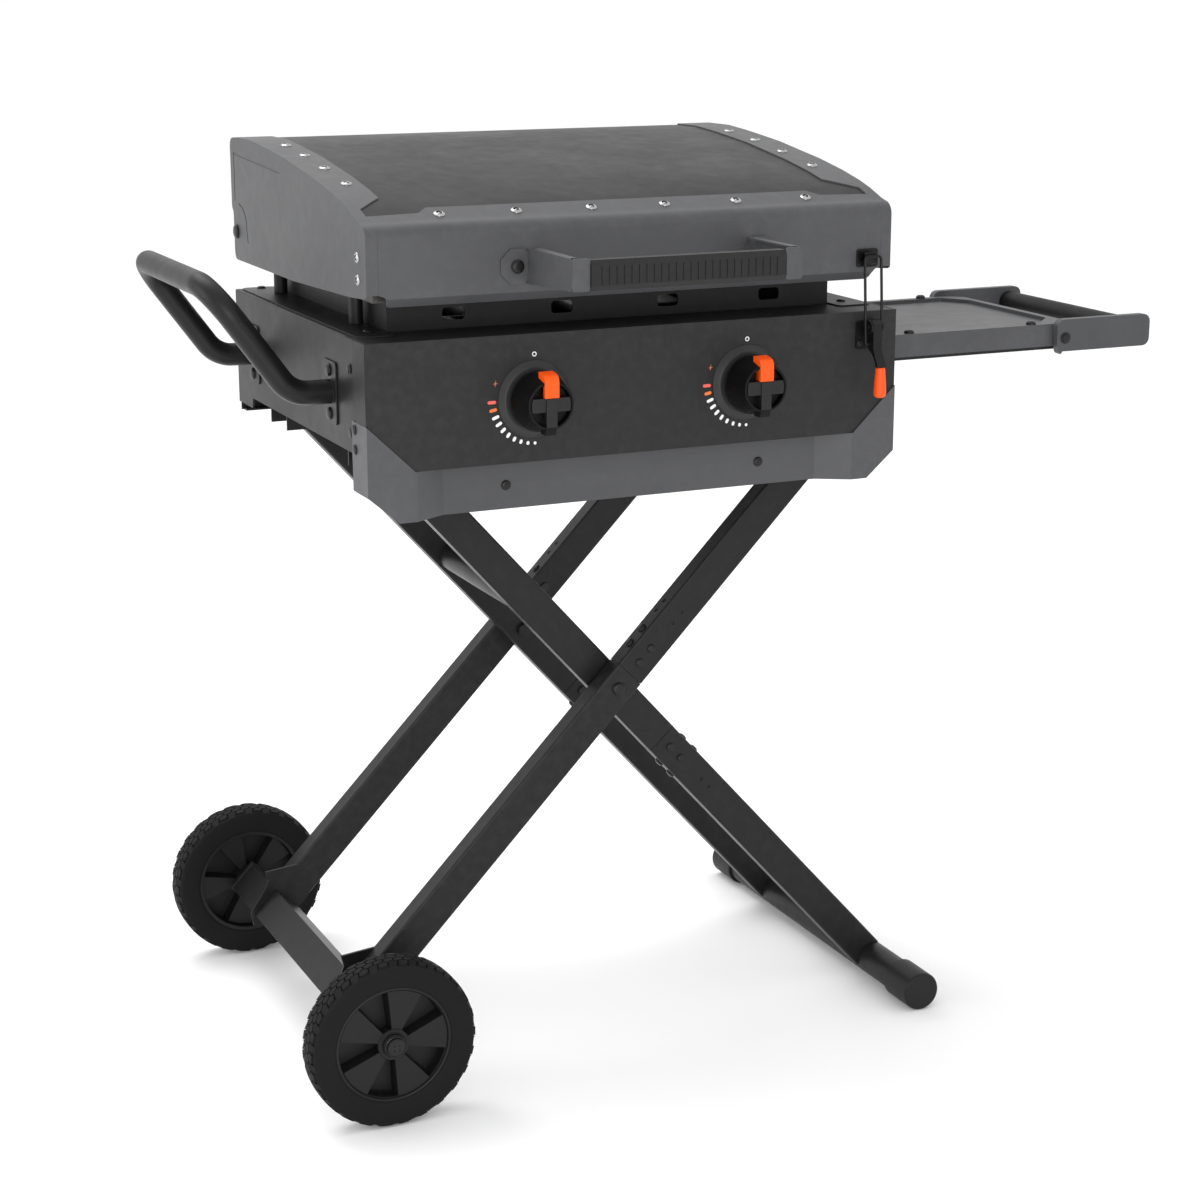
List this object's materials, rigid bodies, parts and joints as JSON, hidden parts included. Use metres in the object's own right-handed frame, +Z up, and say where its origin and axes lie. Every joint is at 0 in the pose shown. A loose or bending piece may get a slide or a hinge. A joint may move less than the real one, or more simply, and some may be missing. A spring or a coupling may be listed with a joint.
{
  "type": "outdoor gas griddle",
  "caption": "Outdoor gas griddle station: hinged hood over a flat plate and burner box, on folding X legs with wheels, a foot bar, a side handle and a side shelf",
  "frame": {"origin": "bottom centre of the bounding box, on the floor", "axes": "+X to the right end with the shelf, +Y to the rear, +Z up; the knobs and the hood handle face -Y"},
  "size_m": [1.1274, 0.6154, 0.987],
  "materials": {
    "paint_black": "satin black powder coat",
    "paint_cover": "fine textured near-black paint",
    "paint_panel": "matt charcoal paint",
    "paint_grey": "satin mid-grey paint",
    "paint_side": "satin dark grey paint",
    "steel_plate": "seasoned rolled steel",
    "steel_plain": "plain steel sheet",
    "zinc": "zinc plated",
    "screw_black": "black oxide screws",
    "rivet": "bright aluminium rivets",
    "brass_part": "machined brass",
    "plastic_black": "moulded black plastic",
    "plastic_grey": "moulded grey plastic",
    "plastic_orange": "orange plastic",
    "grip_orange": "dipped orange vinyl",
    "tyre_rubber": "black tread",
    "rim_plastic": "moulded black wheel centre",
    "cap_plastic": "black moulded end caps"
  },
  "bodies": {
    "station": {"side_panel_left": "paint_side", "side_panel_right": "paint_side", "rear_panel": "paint_side", "control_panel": "paint_panel", "apron": "paint_grey", "bottom_pan": "steel_plain", "burner_box": "paint_side", "leg_channels": "paint_black", "gas_manifold": "steel_plain", "gas_valves": "brass_part", "burners": "steel_plain", "knob_bezels": "plastic_black", "hood_hinge_brackets": "paint_black", "side_handle": "paint_black", "shelf_top": "paint_grey", "shelf_rails": "paint_black", "latch_base": "screw_black", "station_screws": "screw_black"},
    "griddle": {"griddle_plate": "steel_plate", "griddle_posts": "paint_black"},
    "hood": {"hood_cover": "paint_cover", "hood_end_left": "paint_grey", "hood_end_right": "paint_grey", "hood_front": "paint_grey", "hood_handle_brackets": "paint_grey", "hood_handle_bar": "plastic_black", "hood_rivets": "rivet", "latch_catch": "screw_black"},
    "lever": {"latch_lever": "screw_black", "latch_grip": "grip_orange"},
    "bail": {"latch_bail": "screw_black"},
    "plug_left": {"valve_plug_left": "brass_part"},
    "plug_right": {"valve_plug_right": "brass_part"},
    "dial_left": {"knob_left": "plastic_black", "knob_pointer_left": "plastic_orange"},
    "dial_right": {"knob_right": "plastic_black", "knob_pointer_right": "plastic_orange"},
    "foot_frame": {"foot_leg_upper_front": "paint_black", "foot_leg_upper_rear": "paint_black", "foot_leg_lower_front": "paint_black", "foot_leg_lower_rear": "paint_black", "foot_cross_tube": "paint_black", "foot_bar": "paint_black", "foot_bar_caps": "cap_plastic", "foot_frame_bolts": "screw_black"},
    "wheel_frame": {"wheel_leg_upper_front": "paint_black", "wheel_leg_upper_rear": "paint_black", "wheel_leg_lower_front": "paint_black", "wheel_leg_lower_rear": "paint_black", "axle_tube": "paint_black", "axle_rod": "screw_black", "sliding_rod": "zinc", "wheel_frame_bolts": "screw_black"},
    "wheel_front": {"tyre_front": "tyre_rubber", "rim_front": "rim_plastic"},
    "wheel_rear": {"tyre_rear": "tyre_rubber", "rim_rear": "rim_plastic"},
    "end_handle": {"handle_arms": "plastic_grey", "handle_tube": "paint_black"},
    "cup": {"grease_cup": "steel_plain"}
  },
  "joints": [
    {"name": "foot_frame_fold", "type": "hinge", "parent": "station", "child": "foot_frame", "pos_m": [-0.3754, 0.02725, 0.68799], "axis": [0, -1, 0], "range_deg": [0, 42]},
    {"name": "wheel_frame_fold", "type": "hinge", "parent": "foot_frame", "child": "wheel_frame", "pos_m": [-0.12315, 0.02725, 0.40845], "axis": [0, -1, 0], "range_deg": [-84, 0]},
    {"name": "wheel_front_spin", "type": "hinge", "parent": "wheel_frame", "child": "wheel_front", "pos_m": [-0.42955, -0.22975, 0.09146], "axis": [0, 1, 0], "continuous": true},
    {"name": "wheel_rear_spin", "type": "hinge", "parent": "wheel_frame", "child": "wheel_rear", "pos_m": [-0.42955, 0.28425, 0.09146], "axis": [0, 1, 0], "continuous": true},
    {"name": "hood_swing", "type": "hinge", "parent": "station", "child": "hood", "pos_m": [-0.1263, 0.24925, 0.88099], "axis": [-1, 0, 0], "range_deg": [0, 100]},
    {"name": "griddle_lift", "type": "slide", "parent": "station", "child": "griddle", "axis": [0, 0, 1], "range_m": [0, 0.03]},
    {"name": "latch_lever_swing", "type": "hinge", "parent": "station", "child": "lever", "pos_m": [0.1407, -0.21175, 0.79999], "axis": [-1, 0, 0], "range_deg": [0, 150]},
    {"name": "latch_bail_swing", "type": "hinge", "parent": "lever", "child": "bail", "pos_m": [0.1407, -0.21175, 0.78199], "axis": [-1, 0, 0], "range_deg": [-175, 0]},
    {"name": "valve_left_turn", "type": "hinge", "parent": "station", "child": "plug_left", "pos_m": [-0.24755, -0.19775, 0.74859], "axis": [0, -1, 0], "range_deg": [0, 180]},
    {"name": "valve_right_turn", "type": "hinge", "parent": "station", "child": "plug_right", "pos_m": [-0.00505, -0.19775, 0.74859], "axis": [0, -1, 0], "range_deg": [0, 180]},
    {"name": "dial_left_push", "type": "slide", "parent": "plug_left", "child": "dial_left", "axis": [0, 1, 0], "range_m": [0, 0.004], "stiffness_N_per_m": 800, "springref_m": -0.004},
    {"name": "dial_right_push", "type": "slide", "parent": "plug_right", "child": "dial_right", "axis": [0, 1, 0], "range_m": [0, 0.004], "stiffness_N_per_m": 800, "springref_m": -0.004},
    {"name": "end_handle_fold", "type": "hinge", "parent": "station", "child": "end_handle", "pos_m": [0.4462, 0.01325, 0.75699], "axis": [0, 1, 0], "range_deg": [0, 90]},
    {"name": "grease_cup_pull", "type": "slide", "parent": "station", "child": "cup", "axis": [0, 1, 0], "range_m": [0, 0.05]}
  ],
  "couplings": [
    {"joint": "wheel_frame_fold", "follows": "foot_frame_fold", "ratio": -2},
    {"joint": "latch_bail_swing", "follows": "latch_lever_swing", "ratio": -1.15}
  ]
}
